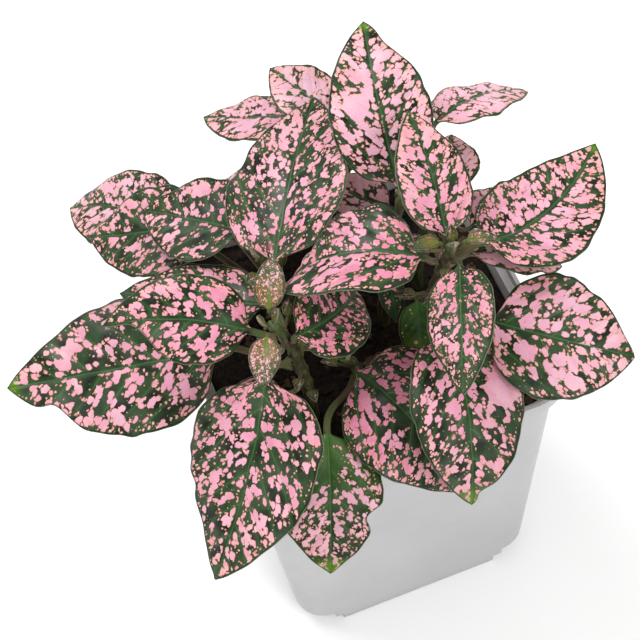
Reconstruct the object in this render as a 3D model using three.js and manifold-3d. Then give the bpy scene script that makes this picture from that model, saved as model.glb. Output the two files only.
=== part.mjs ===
// Polka dot plant in a square nursery pot.
// Millimetres, +Z up. The origin is the centre of the pot's underside, its sides lie along X and Y.
// The plant is seven leafy shoots that stand in the soil. Each stem is a tapered, jointed rod with
// its young tip, and each leaf is one arched blade on its own stalk, a hair's breadth off its stem.

import * as THREE from 'three';
import { mergeVertices } from 'three/addons/utils/BufferGeometryUtils.js';
import Module from 'manifold-3d';

const wasm = await Module();
wasm.setup();

// Driving dimensions
const GAP = 0.3;

const POT = {
  height: 100,
  rimSide: 90,
  rimHeight: 4,
  rimStep: 2,
  rimCorner: 12,
  baseSide: 72,
  baseCorner: 8,
  wall: 1.2,
  floor: 1.5,
  edge: 0.8,
  flare: 0.5,
  footInset: 11.6,
  ledgeInset: 9,
  notchHeight: 6.4,
  ledgeHeight: 3,
  notchReach: 20,
  cornerSteps: 5,
  drainRadius: 3.5,
  drainSpacing: 36,
  drainSides: 16,
};

// The soil rises to a low mound. faceRings are the level rings of its face, as shares of its width.
const SOIL = {
  top: 92,
  mound: 1.6,
  moundReach: 30,
  faceRings: [0.66, 0.36, 0.08],
  holeDepth: 9,
  holeSides: 12,
};

const STEM = {
  footRadius: 1.9,
  tipRadius: 1.1,
  jointSwell: 0.35,
  jointHalfLength: 1.8,
  straightAboveSoil: 3,
  sides: 8,
  rings: 8,
};

const STALK = { halfWidth: 0.9, halfHeight: 0.8, edgeHalfHeight: 0.35, bow: 0.35, rings: 3 };

// waves run along each edge, waveLead sets the two edges out of step, waveShare is their height as a
// share of the width. curl turns the edges down.
const BLADE = {
  halfThickness: 0.35,
  rib: 0.5,
  curl: 0.12,
  waves: 2.5,
  waveLead: 0.3,
  waveShare: 1 / 40,
  shoulder: 0.6,
  taper: 0.9,
  ringSpacing: 4,
  fewestRings: 6,
  mostRings: 12,
  innerSteps: 6,
};

const COLOUR = {
  pot: 0xc6c7c9,
  soil: 0x17120f,
  stem: 0x646a42,
  green: 0x2f4a36,
  pink: 0xf4a3b4,
};

// Shoots: where each stem leaves the soil, how high it stands straight, and where it ends
const STEMS = {
  front_left: { foot: [-20, -20], bend: 128, tip: [-27, -21, 143] },
  front_right: { foot: [15, -13], bend: 116, tip: [20, -23, 151] },
  front_low: { foot: [-5, -17], bend: 106, tip: [-11, -23, 120] },
  middle: { foot: [8, -1], bend: 116, tip: [16, -1, 147] },
  back: { foot: [4, 19], bend: 112, tip: [11, 29, 139] },
  left: { foot: [-15, 5], bend: 112, tip: [-21, 4, 136] },
  right: { foot: [21, 7], bend: 112, tip: [29, 4, 144] },
};

// Leaves: the stem and the height of the joint that each one grows from, the start, heading and
// slopes of its blade, its length and width, and the pink share of its face.
// heading is counted from +X towards +Y, slopes are above the horizon at the start and at the tip.
// roll and twist turn the blade about its middle line, turn bends it sideways, fold lifts its halves.
// A nick is a bite in one edge: side 1 is the left edge, seen from the stalk looking to the tip.
const LEAVES = [
  { name: 'front_left_leaf_1', stem: 'front_left', joint: 141, start: [-26, -18, 144],
    heading: 65, slopes: [30, 0], length: 14, width: 8, fold: 14, pink: 0.4 },
  { name: 'front_left_leaf_2', stem: 'front_left', joint: 141, start: [-29, -25, 144],
    heading: -116, slopes: [0, -28], length: 13, width: 8, fold: 12, pink: 0.4 },
  { name: 'front_left_leaf_3', stem: 'front_left', joint: 134, start: [-31, -16, 135],
    heading: 149, slopes: [20, -12], length: 37, width: 24, roll: -14, turn: 15, fold: 10, pink: 0.45,
    nick: { side: 1, at: 0.86, reach: 0.2, depth: 0.9 } },
  { name: 'front_left_leaf_4', stem: 'front_left', joint: 134, start: [-22, -24, 138],
    heading: 13, slopes: [-15, -38], length: 30, width: 21, roll: 30, turn: 50, fold: 9, pink: 0.6 },
  { name: 'front_left_leaf_5', stem: 'front_left', joint: 126, start: [-31.4, -26.4, 130],
    heading: -122, slopes: [-32, -36], length: 52, width: 38, roll: 9, twist: 17, turn: -19, fold: 5,
    pink: 0.38, nick: { side: -1, at: 0.62, reach: 0.05, depth: 0.1 } },
  { name: 'front_left_leaf_6', stem: 'front_left', joint: 126, start: [-24, -4, 125.5],
    heading: 146, slopes: [-1, -12], length: 40, width: 22, fold: 8, pink: 0.45 },
  { name: 'front_left_leaf_7', stem: 'front_left', joint: 117, start: [-38.1, -7.2, 119],
    heading: 155, slopes: [-21, -9], length: 61, width: 36.5, roll: -26, turn: 7, fold: 3, pink: 0.38,
    nick: { side: 1, at: 0.8, reach: 0.07, depth: 0.35 } },
  { name: 'front_left_leaf_8', stem: 'front_left', joint: 110, start: [-26, -22, 111],
    heading: 178, slopes: [0, -30], length: 24, width: 18, fold: 8, pink: 0.4 },

  { name: 'front_right_leaf_1', stem: 'front_right', joint: 149, start: [17, -22, 152],
    heading: 168, slopes: [10, -15], length: 7, width: 5, fold: 35, pink: 0.4 },
  { name: 'front_right_leaf_2', stem: 'front_right', joint: 149, start: [23, -24, 152],
    heading: -20, slopes: [10, -15], length: 8, width: 5, fold: 35, pink: 0.4 },
  { name: 'front_right_leaf_3', stem: 'front_right', joint: 146, start: [20, -19, 149],
    heading: 78, slopes: [34, 14], length: 33, width: 20, roll: 19, turn: 13, fold: 7, pink: 0.7 },
  { name: 'front_right_leaf_4', stem: 'front_right', joint: 146, start: [20, -27, 148],
    heading: -112, slopes: [-7, -36], length: 32, width: 18, roll: 19, twist: 9, fold: 9, pink: 0.5 },
  { name: 'front_right_leaf_5', stem: 'front_right', joint: 142, start: [13, -21, 147],
    heading: 159, slopes: [30, -80], length: 44, width: 31, roll: 5, twist: 15, turn: -13, fold: 12,
    pink: 0.7 },
  { name: 'front_right_leaf_6', stem: 'front_right', joint: 142, start: [28, -22, 146],
    heading: 11, slopes: [-30, 16], length: 47, width: 28, roll: 5, twist: 5, turn: 31, fold: 5,
    pink: 0.65 },
  { name: 'front_right_leaf_7', stem: 'front_right', joint: 128, start: [25, -33.2, 129],
    heading: -41, slopes: [-3, -36], length: 39, width: 32, roll: 23, turn: 27, fold: 10, pink: 0.65 },
  { name: 'front_right_leaf_8', stem: 'front_right', joint: 123, start: [14, -30, 127],
    heading: -90, slopes: [0, -70], length: 47, width: 30, roll: -17, turn: -30, fold: 10, pink: 0.5,
    nick: { side: 1, at: 0.93, reach: 0.05, depth: 0.5 } },
  { name: 'front_right_leaf_9', stem: 'front_right', joint: 136, start: [27, -17.2, 135.7],
    heading: -8, slopes: [-11, -40], length: 26, width: 20, roll: -20, turn: -14, fold: 10, pink: 0.5 },
  { name: 'front_right_leaf_10', stem: 'front_right', joint: 119, start: [12, -17, 124],
    heading: -105, slopes: [-50, -75], length: 19, width: 11, fold: 10, pink: 0.1 },

  { name: 'front_low_leaf_1', stem: 'front_low', joint: 112, start: [-8, -25, 114],
    heading: -68, slopes: [22, -77], length: 44.5, width: 33, roll: 20, fold: 12, pink: 0.4 },
  { name: 'front_low_leaf_2', stem: 'front_low', joint: 105, start: [-21, -37, 112],
    heading: -108, slopes: [-29, -64], length: 38, width: 27, roll: -14, turn: -13, fold: 8, pink: 0.35,
    nick: { side: 1, at: 0.6, reach: 0.06, depth: 0.22 } },

  { name: 'middle_leaf_1', stem: 'middle', joint: 144, start: [16, 2, 146],
    heading: 85, slopes: [43, 10], length: 44, width: 26, turn: -10, fold: 6, pink: 0.75,
    nick: { side: -1, at: 0.86, reach: 0.1, depth: 0.22 } },
  { name: 'middle_leaf_2', stem: 'middle', joint: 135, start: [14, 4, 136],
    heading: 140, slopes: [5, -13], length: 22, width: 15, turn: -40, fold: 6, pink: 0.4 },
  { name: 'middle_leaf_3', stem: 'middle', joint: 124, start: [8, -7, 127],
    heading: -98, slopes: [-40, -72], length: 15, width: 7, fold: 12, pink: 0.3 },

  { name: 'back_leaf_1', stem: 'back', joint: 133, start: [3.8, 41.8, 136],
    heading: 145, slopes: [-14, -24], length: 31, width: 20, roll: 9, turn: -11, fold: 6, pink: 0.85 },
  { name: 'back_leaf_2', stem: 'back', joint: 136, start: [10.4, 36.1, 139],
    heading: 114, slopes: [13, -5], length: 23, width: 17, roll: -6, fold: 9, pink: 0.9 },
  { name: 'back_leaf_3', stem: 'back', joint: 122, start: [8, 34, 123],
    heading: 78, slopes: [5, -60], length: 40, width: 27, fold: 8, pink: 0.6 },
  { name: 'back_leaf_4', stem: 'back', joint: 124, start: [-6, 30, 124],
    heading: 128, slopes: [-5, -55], length: 28, width: 25, roll: 5, fold: 8, pink: 0.6 },

  { name: 'left_leaf_1', stem: 'left', joint: 132, start: [-19, -1, 137],
    heading: 60, slopes: [19, -1], length: 49, width: 35, roll: -21, turn: -7, fold: 11, pink: 0.45 },
  { name: 'left_leaf_2', stem: 'left', joint: 128, start: [-22.3, 14.8, 133],
    heading: 120, slopes: [-25, -19], length: 38, width: 26, roll: -14, turn: 12, fold: 12, pink: 0.28 },
  { name: 'left_leaf_3', stem: 'left', joint: 119, start: [-29.2, 30, 120],
    heading: 154, slopes: [-10, -29], length: 37, width: 27, roll: -16, turn: -14, fold: 8, pink: 0.35 },
  { name: 'left_leaf_4', stem: 'left', joint: 110, start: [-36.9, 42.6, 109],
    heading: 123, slopes: [-2, -39], length: 40, width: 27, roll: -6, turn: 14, fold: 7, pink: 0.75 },

  { name: 'right_leaf_1', stem: 'right', joint: 141, start: [31.9, 15.6, 148],
    heading: 28, slopes: [0, -40], length: 33, width: 19, roll: -13, twist: -10, turn: -27, fold: 2,
    pink: 0.9 },
  { name: 'right_leaf_2', stem: 'right', joint: 135, start: [30, 4, 134.5],
    heading: 65, slopes: [10, -20], length: 20, width: 16, fold: 8, pink: 0.7 },
  { name: 'right_leaf_3', stem: 'right', joint: 131, start: [31, -8.6, 134],
    heading: 20, slopes: [5, -25], length: 19, width: 16, fold: 8, pink: 0.6 },
];

const UP = new THREE.Vector3(0, 0, 1);

const deg = THREE.MathUtils.degToRad;

function vector(point) {
  return new THREE.Vector3(...point);
}

// One closed skin over a row of rings that all have the same number of points.
// Rings run counter-clockwise as seen from the end that the row leads to.
function loft(rings) {
  const count = rings[0].length;
  const positions = rings.flat().flatMap((point) => point.toArray());
  const index = [];
  for (let r = 0; r + 1 < rings.length; r += 1) {
    for (let k = 0; k < count; k += 1) {
      const a = r * count + k;
      const b = r * count + (k + 1) % count;
      index.push(a, b, b + count, a, b + count, a + count);
    }
  }
  const last = (rings.length - 1) * count;
  for (let k = 1; k + 1 < count; k += 1) {
    index.push(0, k + 1, k);
    index.push(last, last + k, last + k + 1);
  }
  const geometry = new THREE.BufferGeometry();
  geometry.setAttribute('position', new THREE.Float32BufferAttribute(positions, 3));
  geometry.setIndex(index);
  return geometry;
}

function toSolid(geometry) {
  const bare = geometry.clone();
  bare.deleteAttribute('normal');
  bare.deleteAttribute('uv');
  const merged = mergeVertices(bare, 1e-4);
  return new wasm.Manifold(new wasm.Mesh({
    numProp: 3,
    vertProperties: new Float32Array(merged.attributes.position.array),
    triVerts: new Uint32Array(merged.index.array),
  }));
}

function toGeometry(solid) {
  const mesh = solid.getMesh();
  const geometry = new THREE.BufferGeometry();
  geometry.setAttribute('position', new THREE.Float32BufferAttribute(mesh.vertProperties, 3));
  geometry.setIndex(Array.from(mesh.triVerts));
  return geometry;
}

// A level ring with rounded corners, counter-clockwise from above
function squareRing(side, corner, z) {
  const steps = POT.cornerSteps;
  const ring = [];
  const inner = side / 2 - corner;
  for (let quarter = 0; quarter < 4; quarter += 1) {
    const turn = quarter * Math.PI / 2;
    const middle = new THREE.Vector3(inner, inner, z).applyAxisAngle(UP, turn);
    for (let k = 0; k <= steps; k += 1) {
      const angle = turn + k / steps * Math.PI / 2;
      ring.push(new THREE.Vector3(
        middle.x + corner * Math.cos(angle),
        middle.y + corner * Math.sin(angle),
        z,
      ));
    }
  }
  return ring;
}

// Side and corner radius of the tapered wall at a height, drawn in by some distance
function wallRing(z, inset) {
  const share = z / (POT.height - POT.rimHeight);
  const side = THREE.MathUtils.lerp(POT.baseSide, POT.rimSide - 2 * POT.rimStep, share);
  const corner = THREE.MathUtils.lerp(POT.baseCorner, POT.rimCorner - 1, share);
  return squareRing(side - 2 * inset, corner - inset, z);
}

function boxSolid(size, centre) {
  const box = new THREE.BoxGeometry(...size);
  box.translate(...centre);
  return toSolid(box);
}

// Takes the four raised corners out of a block; grow widens them for a wall or a gap
function cutCorners(block, grow) {
  const steps = [
    [POT.footInset, POT.ledgeHeight],
    [POT.ledgeInset, POT.notchHeight],
  ];
  const reach = POT.notchReach;
  let result = block;
  for (const [inset, height] of steps) {
    for (const sx of [-1, 1]) {
      for (const sy of [-1, 1]) {
        const near = POT.baseSide / 2 - inset - grow;
        const middle = near + reach / 2;
        const top = height + grow;
        const size = [reach, reach, top + reach];
        result = result.subtract(boxSolid(size, [sx * middle, sy * middle, (top - reach) / 2]));
      }
    }
  }
  return result;
}

function rod(radius, from, to, sides) {
  const geometry = new THREE.CylinderGeometry(radius, radius, to - from, sides);
  geometry.rotateX(Math.PI / 2);
  geometry.translate(0, 0, (from + to) / 2);
  return geometry;
}

function potGeometry() {
  const shoulder = POT.height - POT.rimHeight;
  const mouthSide = POT.rimSide - 2 * POT.wall;
  const mouthCorner = POT.rimCorner - POT.wall;
  const outside = toSolid(loft([
    wallRing(0, POT.edge),
    wallRing(POT.edge, 0),
    wallRing(shoulder, 0),
    squareRing(POT.rimSide, POT.rimCorner, shoulder + POT.flare),
    squareRing(POT.rimSide, POT.rimCorner, POT.height - POT.edge / 2),
    squareRing(POT.rimSide - POT.edge, POT.rimCorner - POT.edge / 2, POT.height),
  ]));
  const inside = toSolid(loft([
    wallRing(POT.floor, POT.wall),
    wallRing(shoulder + POT.edge, POT.wall),
    squareRing(mouthSide, mouthCorner, shoulder + POT.edge + POT.flare),
    squareRing(mouthSide, mouthCorner, POT.height + 1),
  ]));
  let pot = cutCorners(outside, 0).subtract(cutCorners(inside, POT.wall));
  for (const sx of [-1, 1]) {
    for (const sy of [-1, 1]) {
      const drain = rod(POT.drainRadius, -1, POT.floor + 1, POT.drainSides);
      drain.translate(sx * POT.drainSpacing / 2, sy * POT.drainSpacing / 2, 0);
      pot = pot.subtract(toSolid(drain));
    }
  }
  return toGeometry(pot);
}

// Height of the soil's face: a low mound that dies out towards the wall
function soilHeight(x, y) {
  const far = Math.hypot(x, y) / SOIL.moundReach;
  return SOIL.top + SOIL.mound * Math.max(0, 1 - far * far);
}

function soilGeometry() {
  const inset = POT.wall + GAP;
  const from = POT.floor + GAP;
  const rim = wallRing(SOIL.top, inset);
  const rings = [wallRing(from, inset), rim];
  for (const share of SOIL.faceRings) {
    rings.push(rim.map((point) => {
      const x = point.x * share;
      const y = point.y * share;
      return new THREE.Vector3(x, y, soilHeight(x, y));
    }));
  }
  let soil = cutCorners(toSolid(loft(rings)), POT.wall + GAP);
  for (const stem of Object.values(STEMS)) {
    const bottom = SOIL.top - SOIL.holeDepth - GAP;
    const hole = rod(STEM.footRadius + GAP, bottom, SOIL.top + SOIL.holeDepth, SOIL.holeSides);
    hole.translate(stem.foot[0], stem.foot[1], 0);
    soil = soil.subtract(toSolid(hole));
  }
  return toGeometry(soil);
}

// A stem stands straight in its hole and bends towards its tip
function stemCurve(stem) {
  const [x, y] = stem.foot;
  const low = new THREE.Vector3(x, y, SOIL.top - SOIL.holeDepth);
  const face = new THREE.Vector3(x, y, SOIL.top + STEM.straightAboveSoil);
  const bend = new THREE.Vector3(x, y, stem.bend);
  const path = new THREE.CurvePath();
  path.add(new THREE.LineCurve3(low, face));
  path.add(new THREE.QuadraticBezierCurve3(face, bend, vector(stem.tip)));
  return path;
}

// Halves the span until the height is met
function stemPointAt(curve, z) {
  let low = 0;
  let high = 1;
  for (let k = 0; k < 30; k += 1) {
    const middle = (low + high) / 2;
    if (curve.getPointAt(middle).z < z) low = middle;
    else high = middle;
  }
  return { share: low, point: curve.getPointAt(low), along: curve.getTangentAt(low) };
}

function stemRadius(share) {
  return THREE.MathUtils.lerp(STEM.footRadius, STEM.tipRadius, share);
}

function jointRadius(share) {
  return stemRadius(share) + STEM.jointSwell;
}

function stemGeometry(name) {
  const curve = stemCurve(STEMS[name]);
  const joints = [...new Set(LEAVES.filter((leaf) => leaf.stem === name).map((leaf) => leaf.joint))];
  const jointShares = joints.map((z) => stemPointAt(curve, z).share);
  const half = STEM.jointHalfLength / curve.getLength();
  const shares = [0];
  for (let k = 1; k <= STEM.rings; k += 1) shares.push(k / STEM.rings);
  for (const joint of jointShares) shares.push(joint - half, joint, joint + half);
  const ordered = shares.filter((share) => share <= 1).sort((a, b) => a - b)
    .filter((share, k, all) => k === 0 || share - all[k - 1] > half / 3);
  const side = new THREE.Vector3(1, 0, 0);
  const rings = ordered.map((share) => {
    const point = curve.getPointAt(share);
    const along = curve.getTangentAt(share);
    const nearest = Math.min(...jointShares.map((joint) => Math.abs(joint - share)));
    const radius = nearest < half / 2 ? jointRadius(share) : stemRadius(share);
    const across = side.clone().addScaledVector(along, -side.dot(along)).normalize();
    const third = new THREE.Vector3().crossVectors(along, across);
    const ring = [];
    for (let k = 0; k < STEM.sides; k += 1) {
      const angle = k / STEM.sides * 2 * Math.PI;
      ring.push(point.clone()
        .addScaledVector(across, radius * Math.cos(angle))
        .addScaledVector(third, radius * Math.sin(angle)));
    }
    return ring;
  });
  return loft(rings);
}

// Share of the full half-width at a share u of the blade's length: broad near the stalk, drawn out
// to a point
function outline(u) {
  const widest = BLADE.shoulder / (BLADE.shoulder + BLADE.taper);
  const most = widest ** BLADE.shoulder * (1 - widest) ** BLADE.taper;
  return u ** BLADE.shoulder * (1 - u) ** BLADE.taper / most;
}

function headingAt(leaf, u) {
  return deg(leaf.heading + (leaf.turn ?? 0) * u);
}

function directionAt(leaf, u) {
  const slope = deg(THREE.MathUtils.lerp(leaf.slopes[0], leaf.slopes[1], u));
  const heading = headingAt(leaf, u);
  return new THREE.Vector3(
    Math.cos(slope) * Math.cos(heading),
    Math.cos(slope) * Math.sin(heading),
    Math.sin(slope),
  );
}

// The middle line of a blade, with the side and face directions at each ring
function bladeFrames(leaf, count) {
  const frames = [];
  const point = vector(leaf.start);
  for (let k = 0; k <= count; k += 1) {
    const u = k / count;
    const heading = headingAt(leaf, u);
    const along = directionAt(leaf, u);
    const level = new THREE.Vector3(-Math.sin(heading), Math.cos(heading), 0);
    const roll = deg((leaf.roll ?? 0) + (leaf.twist ?? 0) * u);
    const side = level.applyAxisAngle(along, roll);
    const face = new THREE.Vector3().crossVectors(along, side);
    frames.push({ u, point: point.clone(), along, side, face });
    for (let step = 0.5; step < BLADE.innerSteps; step += 1) {
      const ahead = directionAt(leaf, u + step / BLADE.innerSteps / count);
      point.addScaledVector(ahead, leaf.length / count / BLADE.innerSteps);
    }
  }
  return frames;
}

const ACROSS = [-1, -0.5, 0, 0.5, 1];

// A ring round a blade: over its face from right to left, then back along its underside
function bladeRing(leaf, frame) {
  const { u, point, side, face } = frame;
  const wave = leaf.width * BLADE.waveShare * Math.sin(Math.PI * u);
  const fold = deg(leaf.fold ?? 0);
  const rib = BLADE.rib * (1 - u);
  const place = (v, offset) => {
    let half = leaf.width / 2 * outline(u);
    if (leaf.nick && Math.sign(v) === leaf.nick.side) {
      half *= 1 - leaf.nick.depth * Math.exp(-(((u - leaf.nick.at) / leaf.nick.reach) ** 2));
    }
    half = Math.max(half, STALK.halfWidth);
    const turns = BLADE.waves * u + BLADE.waveLead * Math.sign(v);
    const ripple = wave * v * v * Math.sin(2 * Math.PI * turns);
    const lift = half * (Math.sin(fold) * Math.abs(v) - BLADE.curl * v * v) + ripple;
    return point.clone()
      .addScaledVector(side, half * v * Math.cos(fold))
      .addScaledVector(face, lift + offset);
  };
  const over = ACROSS.map((v) => place(v, BLADE.halfThickness));
  const under = ACROSS.map((v) => place(v, -BLADE.halfThickness - (v === 0 ? rib : 0)));
  return [...over, ...under.reverse()];
}

// The stalk leaves its stem square on and runs into the blade
function stalkRings(leaf, first) {
  const stem = stemCurve(STEMS[leaf.stem]);
  const { share, point, along } = stemPointAt(stem, leaf.joint);
  const out = first.point.clone().sub(point);
  out.addScaledVector(along, -out.dot(along)).normalize();
  const from = point.clone().addScaledVector(out, jointRadius(share) + GAP);
  const reach = first.point.distanceTo(from);
  const curve = new THREE.CubicBezierCurve3(
    from,
    from.clone().addScaledVector(out, reach * STALK.bow),
    first.point.clone().addScaledVector(first.along, -reach * STALK.bow),
    first.point,
  );
  const rings = [];
  for (let k = 0; k < STALK.rings; k += 1) {
    const t = k / STALK.rings;
    const centre = curve.getPoint(t);
    const ahead = k === 0 ? out : curve.getTangent(t);
    const side = first.side.clone().addScaledVector(ahead, -first.side.dot(ahead)).normalize();
    const face = new THREE.Vector3().crossVectors(ahead, side);
    const place = (v, sign) => {
      const height = THREE.MathUtils.lerp(STALK.halfHeight, STALK.edgeHalfHeight, v * v);
      return centre.clone()
        .addScaledVector(side, STALK.halfWidth * v)
        .addScaledVector(face, sign * height);
    };
    rings.push([...ACROSS.map((v) => place(v, 1)), ...ACROSS.map((v) => place(v, -1)).reverse()]);
  }
  return rings;
}

function leafGeometry(leaf) {
  const wanted = Math.round(leaf.length / BLADE.ringSpacing);
  const count = THREE.MathUtils.clamp(wanted, BLADE.fewestRings, BLADE.mostRings);
  const frames = bladeFrames(leaf, count);
  const blade = frames.map((frame) => bladeRing(leaf, frame));
  const rings = [...stalkRings(leaf, frames[0]), ...blade];
  return leafSkin(rings);
}

// Like loft, with both faces of the blade split along the same diagonals
function leafSkin(rings) {
  const count = ACROSS.length;
  const around = 2 * count;
  const index = [];
  const quad = (a, b, c, d, flip) => {
    if (flip) index.push(a, b, d, b, c, d);
    else index.push(a, b, c, a, c, d);
  };
  for (let r = 0; r + 1 < rings.length; r += 1) {
    const here = r * around;
    const next = here + around;
    for (let k = 0; k < around; k += 1) {
      const to = (k + 1) % around;
      const onTop = k < count - 1;
      const cell = onTop ? k : 2 * count - 2 - k;
      const leftHalf = cell >= (count - 1) / 2;
      const flip = onTop ? leftHalf : !leftHalf;
      quad(here + k, next + k, next + to, here + to, flip);
    }
  }
  const last = (rings.length - 1) * around;
  for (let k = 0; k + 1 < count; k += 1) {
    const a = k;
    const b = k + 1;
    const c = around - 2 - k;
    const d = around - 1 - k;
    index.push(a, b, c, a, c, d);
    index.push(last + a, last + c, last + b, last + a, last + d, last + c);
  }
  const geometry = new THREE.BufferGeometry();
  const positions = rings.flat().flatMap((point) => point.toArray());
  geometry.setAttribute('position', new THREE.Float32BufferAttribute(positions, 3));
  geometry.setIndex(index);
  return geometry;
}

function addMesh(group, name, geometry, colour, roughness) {
  geometry.computeVertexNormals();
  const material = new THREE.MeshStandardMaterial({ color: colour, roughness, metalness: 0 });
  const mesh = new THREE.Mesh(geometry, material);
  mesh.name = name;
  group.add(mesh);
}

const group = new THREE.Group();
addMesh(group, 'pot', potGeometry(), COLOUR.pot, 0.45);
addMesh(group, 'soil', soilGeometry(), COLOUR.soil, 0.95);
for (const name of Object.keys(STEMS)) {
  addMesh(group, `${name}_stem`, stemGeometry(name), COLOUR.stem, 0.6);
}
for (const leaf of LEAVES) {
  const colour = new THREE.Color(COLOUR.green).lerp(new THREE.Color(COLOUR.pink), leaf.pink);
  addMesh(group, leaf.name, leafGeometry(leaf), colour, 0.5);
}

export default group;
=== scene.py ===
"""Polka dot plant in a square nursery pot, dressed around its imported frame.

Metres, +Z up. The origin is the centre of the pot's underside, and the pot's sides lie along X and Y.
The leaves and stems repeat the frame's own driving dimensions in millimetres, and are made finer.
"""

import math
from statistics import NormalDist

import bpy
import numpy as np
from mathutils import Euler, Matrix, Vector, noise


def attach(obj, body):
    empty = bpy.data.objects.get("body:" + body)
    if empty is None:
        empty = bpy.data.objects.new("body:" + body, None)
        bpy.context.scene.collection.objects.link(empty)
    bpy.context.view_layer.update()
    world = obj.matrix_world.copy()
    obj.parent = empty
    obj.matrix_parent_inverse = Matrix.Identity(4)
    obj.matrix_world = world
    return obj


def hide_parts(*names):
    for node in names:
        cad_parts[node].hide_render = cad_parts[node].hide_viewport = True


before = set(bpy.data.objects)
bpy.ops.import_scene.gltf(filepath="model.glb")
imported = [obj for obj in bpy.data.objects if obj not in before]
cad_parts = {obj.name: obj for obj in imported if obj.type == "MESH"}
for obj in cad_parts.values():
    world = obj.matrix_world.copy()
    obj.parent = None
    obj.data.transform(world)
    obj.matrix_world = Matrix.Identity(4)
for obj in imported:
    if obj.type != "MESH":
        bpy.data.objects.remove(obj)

bl_info = {
    "name": "Potted polka dot plant",
    "version": (1, 0, 0),
    "blender": (4, 5, 0),
    "location": "3D View > Sidebar > Plant",
    "description": "Builds a speckled foliage plant in its nursery pot, piece by piece",
    "category": "Add Mesh",
}

MM = 0.001

# Driving dimensions that the frame's nodes share, in millimetres
POT = {
    "height": 100, "rim_side": 90, "rim_height": 4, "rim_step": 2, "base_side": 72, "wall": 1.2,
    "floor": 1.5, "edge": 0.8, "flare": 0.5, "foot_inset": 11.6, "ledge_inset": 9,
    "notch_height": 6.4, "ledge_height": 3, "notch_reach": 20, "drain_radius": 3.5,
    "drain_spacing": 36,
}
SOIL = {"top": 92, "mound": 1.6, "mound_reach": 30, "hole_depth": 9}
STEM = {"foot_radius": 1.9, "tip_radius": 1.1, "joint_swell": 0.35, "above_soil": 3}
STALK = {"half_width": 0.9, "half_height": 0.8, "bow": 0.35}
BLADE = {"rib": 0.5, "curl": 0.12, "waves": 2.5, "wave_lead": 0.3, "wave_share": 1 / 40,
         "shoulder": 0.6, "taper": 0.9}
GAP = 0.3

# Shoots: where each stem leaves the soil, how high it stands straight, and where it ends
STEMS = {
    "front_left": {"foot": (-20, -20), "bend": 128, "tip": (-27, -21, 143)},
    "front_right": {"foot": (15, -13), "bend": 116, "tip": (20, -23, 151)},
    "front_low": {"foot": (-5, -17), "bend": 106, "tip": (-11, -23, 120)},
    "middle": {"foot": (8, -1), "bend": 116, "tip": (16, -1, 147)},
    "back": {"foot": (4, 19), "bend": 112, "tip": (11, 29, 139)},
    "left": {"foot": (-15, 5), "bend": 112, "tip": (-21, 4, 136)},
    "right": {"foot": (21, 7), "bend": 112, "tip": (29, 4, 144)},
}

# What a leaf has when its own row doesn't say. roll tilts it about its rib, and twist and turn are how
# roll and heading change by its tip, in degrees. nick is a bite: its side, its place and reach as
# shares of the length, and its depth as a share of half the width.
# bright is how far the yellow-green tip reaches, deep darkens the green, fresh lightens it by the stalk,
# haze is how much soft shine lies on it and young is the ochre of new leaves.
# splash is the size of the large splashes and grain that of the waves in their edges. They gather in
# clumps by patchiness, lean along the lateral veins and are stretched out by a low streak. hem and
# spine are how wide the margin and the rib stay green, patch is a pink spot and bare has plain ones:
# their places on the blade and their radii. These are in millimetres.
PLAIN_LEAF = dict(
    roll=0, twist=0, turn=0, nick=None, bright=0.0, deep=0.0, fresh=0.0, haze=0.5, young=0, splash=2.3,
    grain=1.0, patchiness=1.0, lean=0.25, streak=1.0, hem=0.9, spine=0.8, patch=None, bare=())

# Leaves whose splashes lie evenly over them, and new leaves
EVEN = dict(splash=2.0, patchiness=0.5, lean=0.35, streak=0.85)
YOUNG = dict(splash=0.6, grain=0.3, young=1)


def leaf_row(joint, start, heading, slopes, length, width, fold, **more):
    """A leaf's numbers: the height of its joint on the stem, the place where its blade starts, its
    heading there, its slopes at the start and at the tip, its size, and the fold along its rib. pink is
    the share of its face that is pink, and rose runs from pale to deep pink."""
    own = dict(joint=joint, start=start, heading=heading, slopes=slopes, length=length, width=width)
    return {**PLAIN_LEAF, **own, "fold": fold, **more}


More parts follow.
